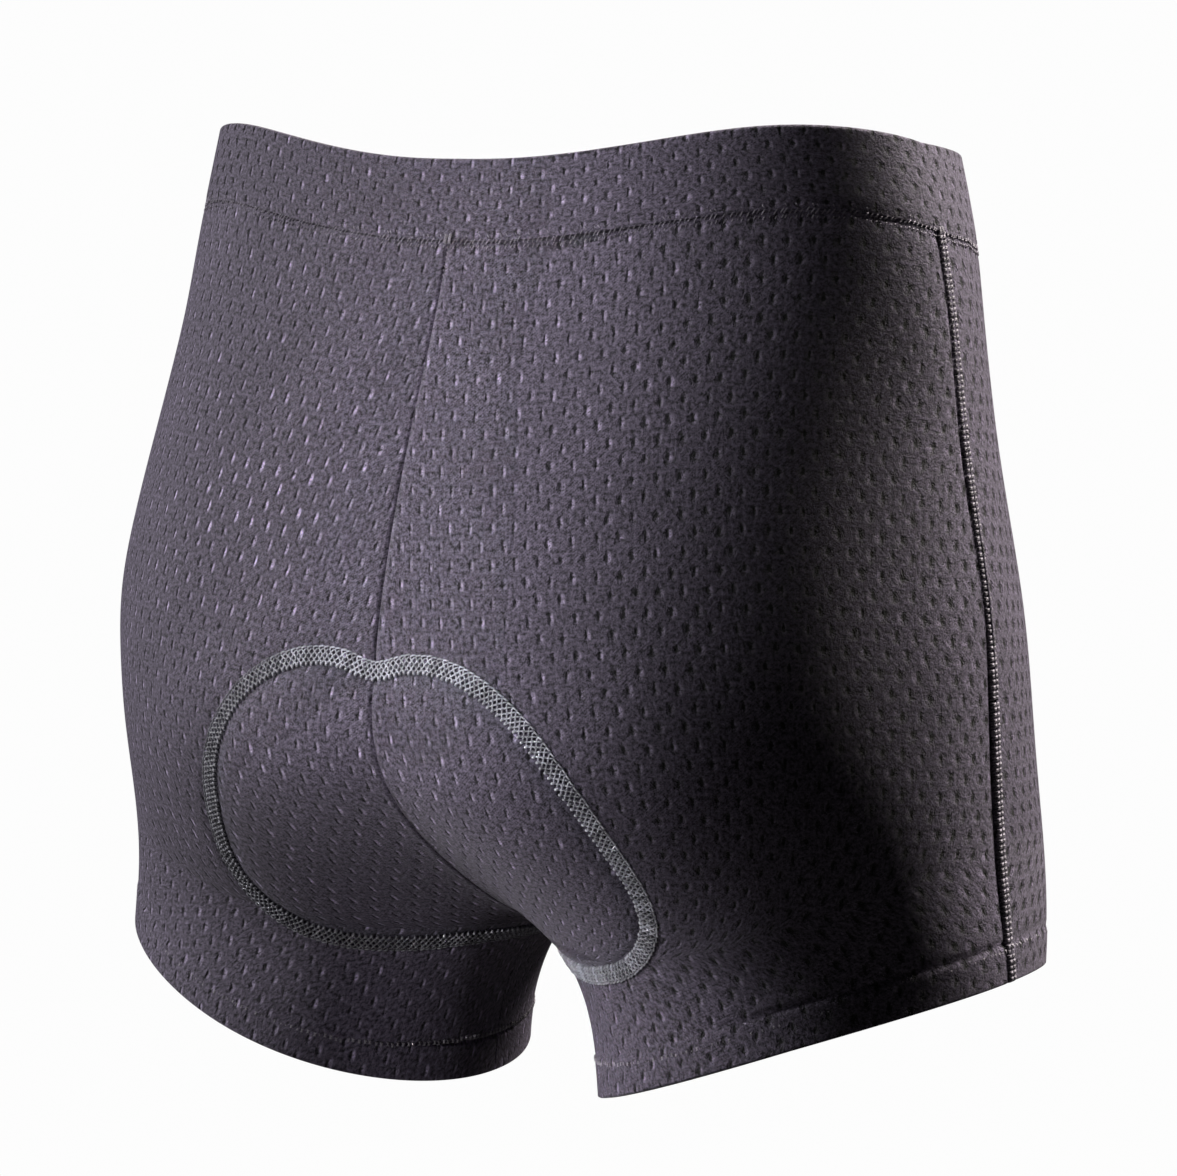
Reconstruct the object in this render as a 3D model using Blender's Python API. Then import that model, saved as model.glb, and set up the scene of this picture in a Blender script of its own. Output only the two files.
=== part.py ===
"""Padded cycling shorts in knitted mesh, standing open in the shape that they take when worn.

Sizes are in millimetres. +Z is up, the front faces -Y and the wearer's left is +X. The origin is the middle of the
waist opening, level with the middle of its top edge.
"""

import math

import bmesh
import bpy
import numpy as np

# The worn shape, level by level. Each half of the body is an oval at every level, and the numbers are how far that
# oval stands from the middle plane at its outer and inner end (a minus is past the plane), how deep it is behind and
# in front of the side seam, and how far the whole level stands off to the wearer's left.
LEVELS = [
    # height, outer, inner, behind, in front, sway
    (-340, 173, 33, 79, 69, 0),
    (-300, 175, 29, 74, 68, 0),
    (-262, 175, 10, 69, 84, 0),
    (-230, 171, -31, 86, 99, -1),
    (-195, 169, -84, 108, 105, -0.5),
    (-150, 169, -107, 105, 102, 2.5),
    (-90, 159, -118, 87, 98, 2),
    (-30, 149, -130, 67, 99, 0),
    (30, 134, -127, 57, 100, 0),
]
# The ovals are squarer in front than behind, by this share of their depth.
FRONT_SQUARE = 0.05
# The side seams lie this far behind the middle of the waist opening.
SIDE_SEAM_BACK = 16.5
# The cloth rounds the gap between the two ovals with this radius, at the cleft behind and at the crotch.
BRIDGE = 10.0

# Height of the top edge, from the middle of the front round the side seam to the middle of the back.
TOP_EDGE = [-8.0, -2.0, 7.0, 12.5, 2.0]
BAND_BEHIND = 26.7
BAND_IN_FRONT = 36.0

# Height of each hem at its middle, by half, and how far it climbs from there to the side seam.
HEM = {"left": -296.0, "right": -290.0}
HEM_CLIMB = 26.0

CLOTH = 1.2
HEM_CLOTH = 2.2
HEM_FOLD = 14.0
BAND_CLOTH = 2.5
BAND_PROUD = 0.4
SEAM_GAP = 0.3

# The pad runs under the crotch along the middle seam, from a notch at its back end to a round front end. Each row gives
# the share of the way from that end to the crotch, and how far the pad reaches from the seam to each side there.
NOTCH_HEIGHT = -162.0
FRONT_END_HEIGHT = -190.0
PAD_REACH = {
    "back": [(0, 32), (0.03, 43), (0.08, 54), (0.16, 64), (0.26, 72), (0.38, 79), (0.54, 86), (0.7, 92), (0.85, 93), (1, 86)],
    "front": [(0, 18), (0.04, 27), (0.1, 33), (0.2, 38), (0.32, 41), (0.46, 43), (0.62, 44), (0.8, 44), (1, 42)],
}
# Below the crotch the pad comes down each inseam this far, and reaches this far from it there.
PAD_DOWN_INSEAM = 12.0
PAD_REACH_THERE = {"back": 74.0, "front": 34.0}
PAD_THICKNESS = 9.0
PAD_EDGE = 1.6

COLUMNS = 18
ROWS_TO_PAD = 9
ROWS_ON_LEG = 3

SIDES = {"back": 1, "front": -1}
HALVES = {"left": 1, "right": -1}


def through(x, y, at):
    """The natural cubic spline through the points (x, y), with x rising, read at every value of at."""
    x = np.asarray(x, float)
    y = np.asarray(y, float)
    gap = np.diff(x)
    system = np.eye(len(x))
    right = np.zeros_like(y)
    for i in range(1, len(x) - 1):
        system[i, i - 1 : i + 2] = gap[i - 1], 2 * (gap[i - 1] + gap[i]), gap[i]
        right[i] = 6 * ((y[i + 1] - y[i]) / gap[i] - (y[i] - y[i - 1]) / gap[i - 1])
    bend = np.linalg.solve(system, right)
    at = np.asarray(at, float)
    k = np.clip(np.searchsorted(x, at) - 1, 0, len(x) - 2)
    step = gap[k]
    low = (x[k + 1] - at) / step
    high = 1 - low
    if y.ndim > 1:
        low, high, step = low[..., None], high[..., None], step[..., None]
    curve = (low**3 - low) * bend[k] + (high**3 - high) * bend[k + 1]
    return low * y[k] + high * y[k + 1] + curve * step**2 / 6


def level(z):
    """The columns of LEVELS at height z, without the height."""
    table = np.array(LEVELS, float)
    return np.moveaxis(through(table[:, 0], table[:, 1:], z), -1, 0)


def round_oval(turn):
    """How deep an oval is at this turn, as a share of its full depth, and the slope of that share."""
    square = np.where(np.asarray(turn) >= 0, 0.0, FRONT_SQUARE)
    return np.sin(turn) + square * np.sin(3 * turn), np.cos(turn) + 3 * square * np.cos(3 * turn)


def skin(half, turn, z):
    """Points of the cloth's outer face. The turn is the angle round one half from its inner end, which is 0: it runs
    to +pi at the side seam round the back and to -pi round the front."""
    outer, inner, behind, in_front, sway = level(z)
    along = (outer + inner) / 2 - (outer - inner) / 2 * np.cos(turn)
    across = np.sqrt(np.maximum(along**2 - BRIDGE**2, 0))
    depth = np.where(np.asarray(turn) >= 0, behind, in_front)
    y = SIDE_SEAM_BACK + depth * round_oval(turn)[0]
    return np.stack([sway + half * across, y, np.broadcast_to(z, across.shape)], -1)


def way_out(half, turn, z):
    """Unit vectors square to the skin, pointing out: the cross product of the skin's slopes along turn and z, both
    multiplied by the distance from the middle plane, because the first has no limit there."""
    outer, inner, behind, in_front, sway = level(z)
    slopes = level(np.asarray(z) + 0.5) - level(np.asarray(z) - 0.5)
    reach = (outer - inner) / 2
    depth = np.where(np.asarray(turn) >= 0, behind, in_front)
    depth_slope = np.where(np.asarray(turn) >= 0, slopes[2], slopes[3])
    share, share_slope = round_oval(turn)
    along = (outer + inner) / 2 - reach * np.cos(turn)
    across = np.sqrt(np.maximum(along**2 - BRIDGE**2, 0))
    along_slope = (slopes[0] + slopes[1]) / 2 - (slopes[0] - slopes[1]) / 2 * np.cos(turn)
    sideways = half * along * along_slope + slopes[4] * across
    out_x = -half * depth * share_slope * across
    out_y = along * reach * np.sin(turn)
    out_z = half * depth * share_slope * sideways - out_y * share * depth_slope
    out = np.stack([out_x, out_y, out_z], -1)
    return out / np.linalg.norm(out, axis=-1, keepdims=True)


def middle_turn(z):
    """The turn at which one half meets the middle plane at height z, or 0 below the crotch."""
    outer, inner = level(z)[:2]
    share = ((outer + inner) / 2 - BRIDGE) / ((outer - inner) / 2)
    return np.where(inner < BRIDGE, np.arccos(np.clip(share, -1, 1)), 0.0)


def crotch_height():
    """The height at which the inner ends of the two ovals come as near as the bridge lets them."""
    low, high = -290.0, -230.0
    for _ in range(50):
        z = (low + high) / 2
        if level(z)[1] < BRIDGE:
            high = z
        else:
            low = z
    return low


def top_edge(side, share):
    """Height of the waistband's top edge, share 0 at the side seam and 1 at the middle."""
    mirrored = TOP_EDGE[2:0:-1] + TOP_EDGE + TOP_EDGE[-2:-4:-1]
    return through(np.arange(-4, 5) / 2, mirrored, side * np.asarray(share))


def band_depth(side, share):
    """Depth of the waistband, which grows from the back to the front."""
    ahead = (1 - side * np.sin(np.asarray(share) * math.pi / 2)) / 2
    return BAND_BEHIND + (BAND_IN_FRONT - BAND_BEHIND) * ahead**2


def along_line(points):
    """Distance along a line of points from its first."""
    steps = np.linalg.norm(np.diff(points, axis=0), axis=1)
    return np.concatenate([[0], np.cumsum(steps)])


def middle_line(side, half, top, bottom):
    """The middle seam of a panel and its inseam below the crotch, as fine points: distance along it, turn and height."""
    crotch = crotch_height()
    share = np.linspace(0, 1, 400)
    seam = top + (crotch - top) * (1 - (1 - share) ** 2)
    z = np.concatenate([seam, np.linspace(crotch, bottom, 100)[1:]])
    turn = side * middle_turn(z)
    return along_line(skin(half, turn, z)), turn, z


def column_shares():
    """Shares of the way from the side seam to the middle, closer together near the middle."""
    return 1 - (1 - np.linspace(0, 1, COLUMNS + 1)) ** 1.25


def panel_net(side_name, half_name):
    """The net of a panel's outer face. Columns run from the side seam to the middle seam and the inseam, rows from the
    waist to the hem. Returns the points, the way out at each, and the numbers of the rows at the pad's end, at its
    lower edge and at the top of the hem fold."""
    side, half = SIDES[side_name], HALVES[half_name]
    share = column_shares()
    top = top_edge(side, share) - band_depth(side, share) - SEAM_GAP / 2
    low, high = HEM[half_name] - HEM_CLIMB, HEM[half_name] + HEM_CLIMB
    distance, turns, heights = middle_line(side, half, top[-1], low)
    pad_end = np.interp(-(NOTCH_HEIGHT if side > 0 else FRONT_END_HEIGHT), -heights, distance)
    crotch = np.interp(-crotch_height(), -heights, distance)
    fold = distance[-1] - HEM_FOLD

    above = np.linspace(0, pad_end, ROWS_TO_PAD + 1)[:-1]
    on_pad = pad_end + (crotch - pad_end) * np.array(PAD_REACH[side_name], float)[:, 0]
    leg = np.linspace(crotch + PAD_DOWN_INSEAM, fold, ROWS_ON_LEG)
    rows = np.concatenate([above, on_pad, leg, [fold + 0.8, distance[-1]]])

    down = (rows / distance[-1])[:, None]
    middle_z = np.interp(rows, distance, heights)[:, None]
    side_z = top[0] + (high - top[0]) * down
    lift = (1 + np.cos(math.pi * share)) / 2
    late = np.interp(rows, [0, crotch, distance[-1]], [1, 2.5, 1])[:, None]
    z = middle_z + (side_z - middle_z) * lift**late
    z = z + (1 - down) * (top - top[-1] - (top[0] - top[-1]) * lift)
    turn = side * math.pi * (1 - share) + share * np.interp(rows, distance, turns)[:, None]
    marks = {"pad end": len(above), "pad edge": len(above) + len(on_pad), "fold": len(rows) - 3}
    return skin(half, turn, z), way_out(half, turn, z), marks


def closed_shell(outside, inside):
    """Corners and faces of the closed body between two nets of equal size."""
    rows, columns = outside.shape[:2]
    corners = np.concatenate([outside.reshape(-1, 3), inside.reshape(-1, 3)])
    number = np.arange(2 * rows * columns).reshape(2, rows, columns)
    faces = []
    for net, step in ((number[0], 1), (number[1], -1)):
        loops = np.stack([net[:-1, :-1], net[1:, :-1], net[1:, 1:], net[:-1, 1:]], -1).reshape(-1, 4)
        faces += loops[:, ::step].tolist()
    rim = np.concatenate(
        [number[:, 0, :-1], number[:, :-1, -1], number[:, -1, :0:-1], number[:, :0:-1, 0]], axis=1
    )
    follow = np.roll(rim, -1, axis=1)
    faces += np.stack([rim[0], follow[0], follow[1], rim[1]], -1).tolist()
    return corners, faces


def panel_mesh(side_name, half_name):
    """A panel: the cloth between its net and the same net moved in, thicker at the turned hem. It stands half a seam
    gap off the middle plane and off the plane of the side seam."""
    points, out, marks = panel_net(side_name, half_name)
    wall = np.full((len(points), 1, 1), CLOTH)
    wall[marks["fold"] + 1 :] = HEM_CLOTH
    aside = np.array([HALVES[half_name], SIDES[side_name], 0]) * SEAM_GAP / 2
    return closed_shell(points + aside, points - out * wall + aside)


def band_mesh():
    """The waistband: the two leaves of a folded strip as one body all the way round, with a rounded top fold. Its
    section is a table of how far in each point lies, as a share of its thickness, and of its height, as a share of its
    depth and a distance from there."""
    section = [(0, 0, 0), (0, 0.33, 0), (0, 0.67, 0), (0, 1, -1), (0.25, 1, -0.3), (0.5, 1, 0), (0.75, 1, -0.3), (1, 1, -1)]
    section += [(1, 0.5, 0), (1, 0, 0)]
    loop = []
    for half, side, way in ((1, 1, 1), (-1, 1, -1), (-1, -1, 1), (1, -1, -1)):
        loop += [(half, side, share) for share in column_shares()[::way][:-1]]
    half, side, share = np.array(loop).T
    top = top_edge(side, share)
    low = top - band_depth(side, share) + SEAM_GAP / 2
    ring = []
    for inward, up, beyond in section:
        z = low + (top - low) * up + beyond
        turn = side * (math.pi * (1 - share) + share * middle_turn(z))
        ring.append(skin(half, turn, z) + way_out(half, turn, z) * (BAND_PROUD - BAND_CLOTH * inward))
    number = np.arange(len(section) * len(loop)).reshape(len(section), len(loop))
    on = np.roll(number, -1, axis=1)
    faces = np.stack([number, on, np.roll(on, -1, axis=0), np.roll(number, -1, axis=0)], -1)
    return np.concatenate(ring), faces.reshape(-1, 4).tolist()


def pad_quarter(side_name, half_name):
    """A quarter of the pad, from the middle seam out to its edge, laid inside the panel's own rows: its face against
    the panel and its face inside. Corners past the edge come together on the edge."""
    points, out, marks = panel_net(side_name, half_name)
    rows = slice(marks["pad end"], marks["pad edge"] + 1)
    lining = (points - out * (CLOTH + 1.5 * SEAM_GAP))[rows, ::-1]
    out = out[rows, ::-1]
    reach = [wide for _, wide in PAD_REACH[side_name]] + [PAD_REACH_THERE[side_name]]
    fullness = [share**0.5 for share, _ in PAD_REACH[side_name]] + [0.3]
    outer, inner = [], []
    for line, ways, wide, full in zip(lining, out, reach, fullness):
        distance = along_line(line)
        held = np.minimum(distance, wide)
        face = np.stack([np.interp(held, distance, line[:, i]) for i in range(3)], -1)
        way = np.stack([np.interp(held, distance, ways[:, i]) for i in range(3)], -1)
        way = way / np.linalg.norm(way, axis=-1, keepdims=True)
        thick = PAD_EDGE + (PAD_THICKNESS - PAD_EDGE) * full * (1 - (held / wide) ** 2)
        outer.append(face)
        inner.append(face - way * thick[:, None])
    return np.array(outer), np.array(inner)


def pad_mesh():
    """The pad: four quarters that meet at the crotch, with no wall where two of them meet."""
    corners, faces = [], []
    for side_name in SIDES:
        for half_name in HALVES:
            outer, inner = pad_quarter(side_name, half_name)
            columns = outer.shape[1]
            walled = np.arange(0, 2 * outer.shape[0] * columns, columns)
            quarter, loops = closed_shell(outer, inner)
            seam = set(walled.tolist())
            start = sum(len(group) for group in corners)
            faces += [[start + i for i in loop] for loop in loops if not seam.issuperset(loop)]
            corners.append(quarter)
    return np.concatenate(corners), faces


def add_piece(name, corners, faces, material):
    """A mesh object from millimetre corners, with equal corners made one and the faces turned outwards."""
    mesh = bpy.data.meshes.new(name)
    mesh.from_pydata((np.asarray(corners) / 1000).tolist(), [], faces)
    work = bmesh.new()
    work.from_mesh(mesh)
    bmesh.ops.remove_doubles(work, verts=work.verts, dist=0.000005)
    bmesh.ops.recalc_face_normals(work, faces=work.faces)
    work.to_mesh(mesh)
    work.free()
    mesh.materials.append(material)
    mesh.shade_smooth()
    mesh.set_sharp_from_angle(angle=math.radians(40))
    piece = bpy.data.objects.new(name, mesh)
    bpy.context.scene.collection.objects.link(piece)
    return piece


def cloth(name, colour, roughness):
    material = bpy.data.materials.new(name)
    material.use_nodes = True
    shader = material.node_tree.nodes["Principled BSDF"]
    shader.inputs["Base Color"].default_value = (*colour, 1)
    shader.inputs["Roughness"].default_value = roughness
    shader.inputs["Metallic"].default_value = 0
    return material


def main():
    for thing in list(bpy.data.objects):
        bpy.data.objects.remove(thing, do_unlink=True)
    knit = cloth("dark mesh knit", (0.075, 0.066, 0.082), 0.8)
    for side_name in SIDES:
        for half_name in HALVES:
            add_piece(f"{side_name}_{half_name}", *panel_mesh(side_name, half_name), knit)
    add_piece("waistband", *band_mesh(), knit)
    add_piece("pad", *pad_mesh(), cloth("grey pad knit", (0.16, 0.16, 0.18), 0.9))


main()
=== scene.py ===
"""Padded cycling shorts in knitted mesh: the cut pieces, their seams and their stitching, laid over the
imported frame.

Sizes are in millimetres and become metres when a mesh is made. +Z is up, the front faces -Y and the
wearer's left is +X. The shape is the one that the frame's panels have: ovals level by level, sampled finely
here.
"""

import math

import bpy
import numpy as np
from mathutils import Matrix, Vector

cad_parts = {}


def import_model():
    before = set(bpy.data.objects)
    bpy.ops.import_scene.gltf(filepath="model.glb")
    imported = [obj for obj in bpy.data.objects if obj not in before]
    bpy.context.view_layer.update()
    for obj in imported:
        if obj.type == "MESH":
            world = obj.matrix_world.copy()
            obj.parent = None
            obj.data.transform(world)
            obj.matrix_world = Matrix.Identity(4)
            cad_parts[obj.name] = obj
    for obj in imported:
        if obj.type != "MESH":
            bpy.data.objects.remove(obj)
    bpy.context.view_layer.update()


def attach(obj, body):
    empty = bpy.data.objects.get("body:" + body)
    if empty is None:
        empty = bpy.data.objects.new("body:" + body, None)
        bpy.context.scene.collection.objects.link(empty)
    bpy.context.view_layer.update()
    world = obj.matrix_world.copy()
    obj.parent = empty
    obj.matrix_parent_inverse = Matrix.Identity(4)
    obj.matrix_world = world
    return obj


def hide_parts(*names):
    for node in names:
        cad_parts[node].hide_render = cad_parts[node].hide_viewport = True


# One row for each level of one half: its oval reaches out and in this far from the middle plane, and this
# far behind and in front of the side seams, and sways this far to the wearer's left.
LEVELS = [
    # height, outer, inner, behind, in front, sway
    (-340, 173, 33, 79, 69, 0),
    (-300, 175, 29, 74, 68, 0),
    (-262, 175, 10, 69, 84, 0),
    (-230, 171, -31, 86, 99, -1),
    (-195, 169, -84, 108, 105, -0.5),
    (-150, 169, -107, 105, 102, 2.5),
    (-90, 159, -118, 87, 98, 2),
    (-30, 149, -130, 67, 99, 0),
    (30, 134, -127, 57, 100, 0),
]
# How square the ovals are in front, as a share of a sine's third multiple.
FRONT_SQUARE = 0.05
# The side seams lie this far behind the waist's middle.
SIDE_SEAM_BACK = 16.5
# The halves run into each other where their ovals come this near to the middle plane.
BRIDGE = 10.0
CROTCH = -262.0

# Heights of the waistband's top edge: front's middle, halfway, side seam, halfway, back's middle.
TOP_EDGE = [-8.0, -2.0, 7.0, 12.5, 2.0]
BAND_BEHIND = 26.7
BAND_IN_FRONT = 36.0
# A leg's hem lies at this height halfway round. It climbs this far above that at the side seam, and lies as
# far below it at the inseam.
HEM = {"left": -296.0, "right": -290.0}
HEM_CLIMB = 26.0

# A quarter of the way round the waist, and round the hips.
QUARTER_ROUND = 175.0
HIP_QUARTER = 235.0

# The cloth's thickness, and how much thicker it is where the hem is turned up, over this depth.
CLOTH = 1.2
HEM_EXTRA = 0.9
HEM_FOLD = 14.0
SEAM_GAP = 0.3

# The size of a panel's faces.
STEP = {"back": 2.0, "front": 2.8}

# How far the cloth's face sinks: beside the side seam, along the hem's fold, below the waist seam and under
# the pad's stitching. How far it rises: past the hem's fold, and in the ribs low on the seat, this far
# apart. The edges roll in by this radius.
SIDE_GROOVE = {"back": 0.9, "front": 0.25}
HEM_VALLEY = 0.9
WAIST_GROOVE = {"left": 0.2, "right": 0.4}
PAD_TROUGH = 0.75
HEM_RISE = 0.3
SEAT_RIB = 0.28
SEAT_RIB_PITCH = 6.5
EDGE_ROLL = 0.6
# Long waves in the cloth: length and height.
WAVES = [(150, 0.5), (90, 0.35), (55, 0.2)]

# The waistband is one strip folded over: each leaf this thick, with this much air between them.
BAND_LEAF = 1.0
BAND_AIR = 0.5
BAND_PROUD = 0.4

# The line that the pad is stitched on, from the notch behind down under the crotch and up to its front end:
# the turn round one half in degrees, and the height.
PAD_LINE = [
    (80.5, -162), (83.5, -159), (87, -158.5), (93.5, -163), (98.8, -172), (102.4, -184), (103.9, -199),
    (102.8, -213), (100, -226), (95.4, -238), (86.9, -250), (74.2, -260), (62, -265), (50, -267),
    (38, -267.5), (20, -267), (0, -268), (-16, -267), (-30, -263.5), (-43, -258.5), (-56, -250.5),
    (-66.5, -240), (-75, -227.5), (-81, -214), (-84, -202), (-84, -193.5), (-80.5, -189), (-77, -188),
]
PAD_THICKNESS = 9.0
PAD_EDGE = 1.6
PAD_SWELL = 2.2

# Where the light catches the holes' walls: a place on the wearer's left seat.
GLINT = np.array([66.0, 106.0, -111.0])

# The cover stitch round the pad: one stitch's length.
PAD_STITCH = 2.1

SIDES = {"back": 1, "front": -1}
HALVES = {"left": 1, "right": -1}

# Colours of the knit, the pad seen through it, the pad's face, and the threads.
KNIT = (0.114, 0.095, 0.138)
PAD_BLUE = (0.105, 0.118, 0.15)
PAD_FACE = (0.17, 0.18, 0.215)
PAD_THREAD = (0.74, 0.73, 0.83)
SIDE_THREAD = (0.32, 0.29, 0.34)
SEAM_THREAD = (0.32, 0.285, 0.35)

# The camera, in metres and pixels: what it looks at, how far round from the back to the wearer's right and
# how far up it stands, how far it leans over, how far away it is, its focal length, and the photograph's
# width.
TARGET = Vector((0, SIDE_SEAM_BACK, -150)) / 1000
ROUND = math.radians(33.9)
ABOVE = math.radians(7.6)
LEAN = math.radians(-0.3)
AWAY = 1.3407
FOCUS = 3878.2
PHOTO_WIDTH = 1177
SENSOR = 36
# The target lies this many pixels from the photograph's middle, to the left and down.
OFF_MIDDLE = (26.3, 9.0)

# How bright the ground looks, how much light it gives, and how far off the lamps stand, in metres.
GROUND = 0.98
AMBIENT = 0.009
LAMP_AWAY = 2.0


def through(x, y, at):
    """The natural cubic spline through the points (x, y), with x rising, read at every value of at."""
    x = np.asarray(x, float)
    y = np.asarray(y, float)
    gap = np.diff(x)
    system = np.eye(len(x))
    right = np.zeros_like(y)
    for i in range(1, len(x) - 1):
        system[i, i - 1 : i + 2] = gap[i - 1], 2 * (gap[i - 1] + gap[i]), gap[i]
        right[i] = 6 * ((y[i + 1] - y[i]) / gap[i] - (y[i] - y[i - 1]) / gap[i - 1])
    bend = np.linalg.solve(system, right)
    at = np.asarray(at, float)
    k = np.clip(np.searchsorted(x, at) - 1, 0, len(x) - 2)
    step = gap[k]
    low = (x[k + 1] - at) / step
    high = 1 - low
    if y.ndim > 1:
        low, high, step = low[..., None], high[..., None], step[..., None]
    curve = (low**3 - low) * bend[k] + (high**3 - high) * bend[k + 1]
    return low * y[k] + high * y[k + 1] + curve * step**2 / 6


def level(z):
    """The columns of LEVELS at height z, without the height."""
    table = np.array(LEVELS, float)
    return np.moveaxis(through(table[:, 0], table[:, 1:], z), -1, 0)


def round_oval(turn):
    """How deep an oval is at this turn, as a share of its full depth, and the slope of that share: a sine,
    with a little of its third multiple in front."""
    square = np.where(np.asarray(turn) >= 0, 0.0, FRONT_SQUARE)
    return np.sin(turn) + square * np.sin(3 * turn), np.cos(turn) + 3 * square * np.cos(3 * turn)


def skin(half, turn, z):
    """Points of the cloth's outer face. The turn goes round one half from its inner end, which is 0, to pi
    at the side seam round the back and -pi round the front."""
    outer, inner, behind, in_front, sway = level(z)
    along = (outer + inner) / 2 - (outer - inner) / 2 * np.cos(turn)
    across = np.sqrt(np.maximum(along**2 - BRIDGE**2, 0))
    depth = np.where(np.asarray(turn) >= 0, behind, in_front)
    y = SIDE_SEAM_BACK + depth * round_oval(turn)[0]
    return np.stack([sway + half * across, y, np.broadcast_to(z, across.shape)], -1)


def unit(vectors):
    """Vectors of length one along their last axis."""
    return vectors / np.maximum(np.linalg.norm(vectors, axis=-1, keepdims=True), 1e-9)


def way_out(half, turn, z):
    """Unit vectors square to the skin, pointing out: the cross product of its slopes along turn and z, both
    multiplied by the distance from the middle plane, because the first has no limit there."""
    outer, inner, behind, in_front, sway = level(z)
    slopes = level(np.asarray(z) + 0.5) - level(np.asarray(z) - 0.5)
    reach = (outer - inner) / 2
    depth = np.where(np.asarray(turn) >= 0, behind, in_front)
    depth_slope = np.where(np.asarray(turn) >= 0, slopes[2], slopes[3])
    share, share_slope = round_oval(turn)
    along = (outer + inner) / 2 - reach * np.cos(turn)
    across = np.sqrt(np.maximum(along**2 - BRIDGE**2, 0))
    along_slope = (slopes[0] + slopes[1]) / 2 - (slopes[0] - slopes[1]) / 2 * np.cos(turn)
    sideways = half * along * along_slope + slopes[4] * across
    out_x = -half * depth * share_slope * across
    out_y = along * reach * np.sin(turn)
    out_z = half * depth * share_slope * sideways - out_y * share * depth_slope
    return unit(np.stack([out_x, out_y, out_z], -1))


def middle_turn(z):
    """The turn at which one half meets the middle plane at height z, or 0 below the crotch."""
    outer, inner = level(z)[:2]
    share = ((outer + inner) / 2 - BRIDGE) / ((outer - inner) / 2)
    return np.where(inner < BRIDGE, np.arccos(np.clip(share, -1, 1)), 0.0)


def top_edge(side, share):
    """Height of the waistband's top edge, share 0 at the side seam and 1 at the middle."""
    mirrored = TOP_EDGE[2:0:-1] + TOP_EDGE + TOP_EDGE[-2:-4:-1]
    return through(np.arange(-4, 5) / 2, mirrored, side * np.asarray(share))


def band_depth(side, share):
    """Depth of the waistband, which grows from the back to the front."""
    ahead = (1 - side * np.sin(np.asarray(share) * math.pi / 2)) / 2
    return BAND_BEHIND + (BAND_IN_FRONT - BAND_BEHIND) * ahead**2


def along_line(points):
    """Distance along lines of points from their first, the points on the second last axis."""
    steps = np.linalg.norm(np.diff(points, axis=-2), axis=-1)
    return np.concatenate([np.zeros_like(steps[..., :1]), np.cumsum(steps, axis=-1)], axis=-1)


def middle_line(side_name, half_name):
    """The middle seam of a panel and its inseam below the crotch, as fine points: distance along it, turn,
    height."""
    side, half = SIDES[side_name], HALVES[half_name]
    top = top_edge(side, 1.0) - band_depth(side, 1.0) - SEAM_GAP / 2
    share = np.linspace(0, 1, 400)
    seam = top + (CROTCH - top) * (1 - (1 - share) ** 2)
    z = np.concatenate([seam, np.linspace(CROTCH, HEM[half_name] - HEM_CLIMB, 100)[1:]])
    turn = side * middle_turn(z)
    return along_line(skin(half, turn, z)), turn, z


def on_panel(side_name, half_name, rows, share):
    """Turn and height on a panel. A row is a distance down the middle seam from the waist seam, and a share
    runs from 0 at the side seam to 1 at the middle. Each row eases from the middle's height to the side's
    by a cosine, later about the crotch, and bends with the waist near the top."""
    side = SIDES[side_name]
    top = top_edge(side, share) - band_depth(side, share) - SEAM_GAP / 2
    top_side, top_middle = (top_edge(side, s) - band_depth(side, s) - SEAM_GAP / 2 for s in (0.0, 1.0))
    distance, turns, heights = middle_line(side_name, half_name)
    crotch = np.interp(-CROTCH, -heights, distance)
    down = rows / distance[-1]
    middle_z = np.interp(rows, distance, heights)
    side_z = top_side + (HEM[half_name] + HEM_CLIMB - top_side) * down
    lift = (1 + np.cos(math.pi * share)) / 2
    late = np.interp(rows, [0, crotch, distance[-1]], [1, 2.5, 1])
    z = middle_z + (side_z - middle_z) * lift**late
    z = z + (1 - down) * (top - top_middle - (top_side - top_middle) * lift)
    turn = side * math.pi * (1 - share) + share * np.interp(rows, distance, turns)
    return turn, z


def pad_line(half_name, count=460):
    """The pad's stitch line on one half as evenly spaced points: turn and height. A spline through
    PAD_LINE."""
    half = HALVES[half_name]
    table = np.array(PAD_LINE, float)
    table[:, 0] = np.radians(table[:, 0])
    table[0, 0] = middle_turn(table[0, 1])
    table[-1, 0] = -middle_turn(table[-1, 1])
    chord = along_line(skin(half, table[:, 0], table[:, 1]))
    fine = through(chord, table, np.linspace(0, chord[-1], 2000))
    distance = along_line(skin(half, fine[:, 0], fine[:, 1]))
    even = np.linspace(0, distance[-1], count)
    return np.interp(even, distance, fine[:, 0]), np.interp(even, distance, fine[:, 1])


def in_pad(half_name, turn, z):
    """True where a point lies inside the pad's stitch line, by counting how often a level line to it
    crosses."""
    x, y = pad_line(half_name)
    inside = np.zeros(turn.shape, bool)
    for x0, y0, x1, y1 in zip(x, y, np.roll(x, -1), np.roll(y, -1)):
        if y0 != y1:
            cross = (y0 > z) != (y1 > z)
            inside ^= cross & (turn < x0 + (x1 - x0) * (z - y0) / (y1 - y0))
    return inside


def nearest(points, line):
    """Distance from each point to the nearest point of a line."""
    flat = points.reshape(-1, 3)
    square = (flat**2).sum(1)[:, None] + (line**2).sum(1)[None] - 2 * flat @ line.T
    return np.sqrt(np.maximum(square.min(axis=1), 0)).reshape(points.shape[:-1])


def bell(distance, width):
    """A soft bump of height one at distance 0."""
    return np.exp(-((distance / width) ** 2))


def pulled(to_middle):
    """How far the cloth is pulled open, from 0 in the middle over 1 on the hip to 1.8 at the side: two
    smooth steps."""
    return 1 / (1 + np.exp((82 - to_middle) / 14)) + 0.8 / (1 + np.exp((160 - to_middle) / 12))


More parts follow.
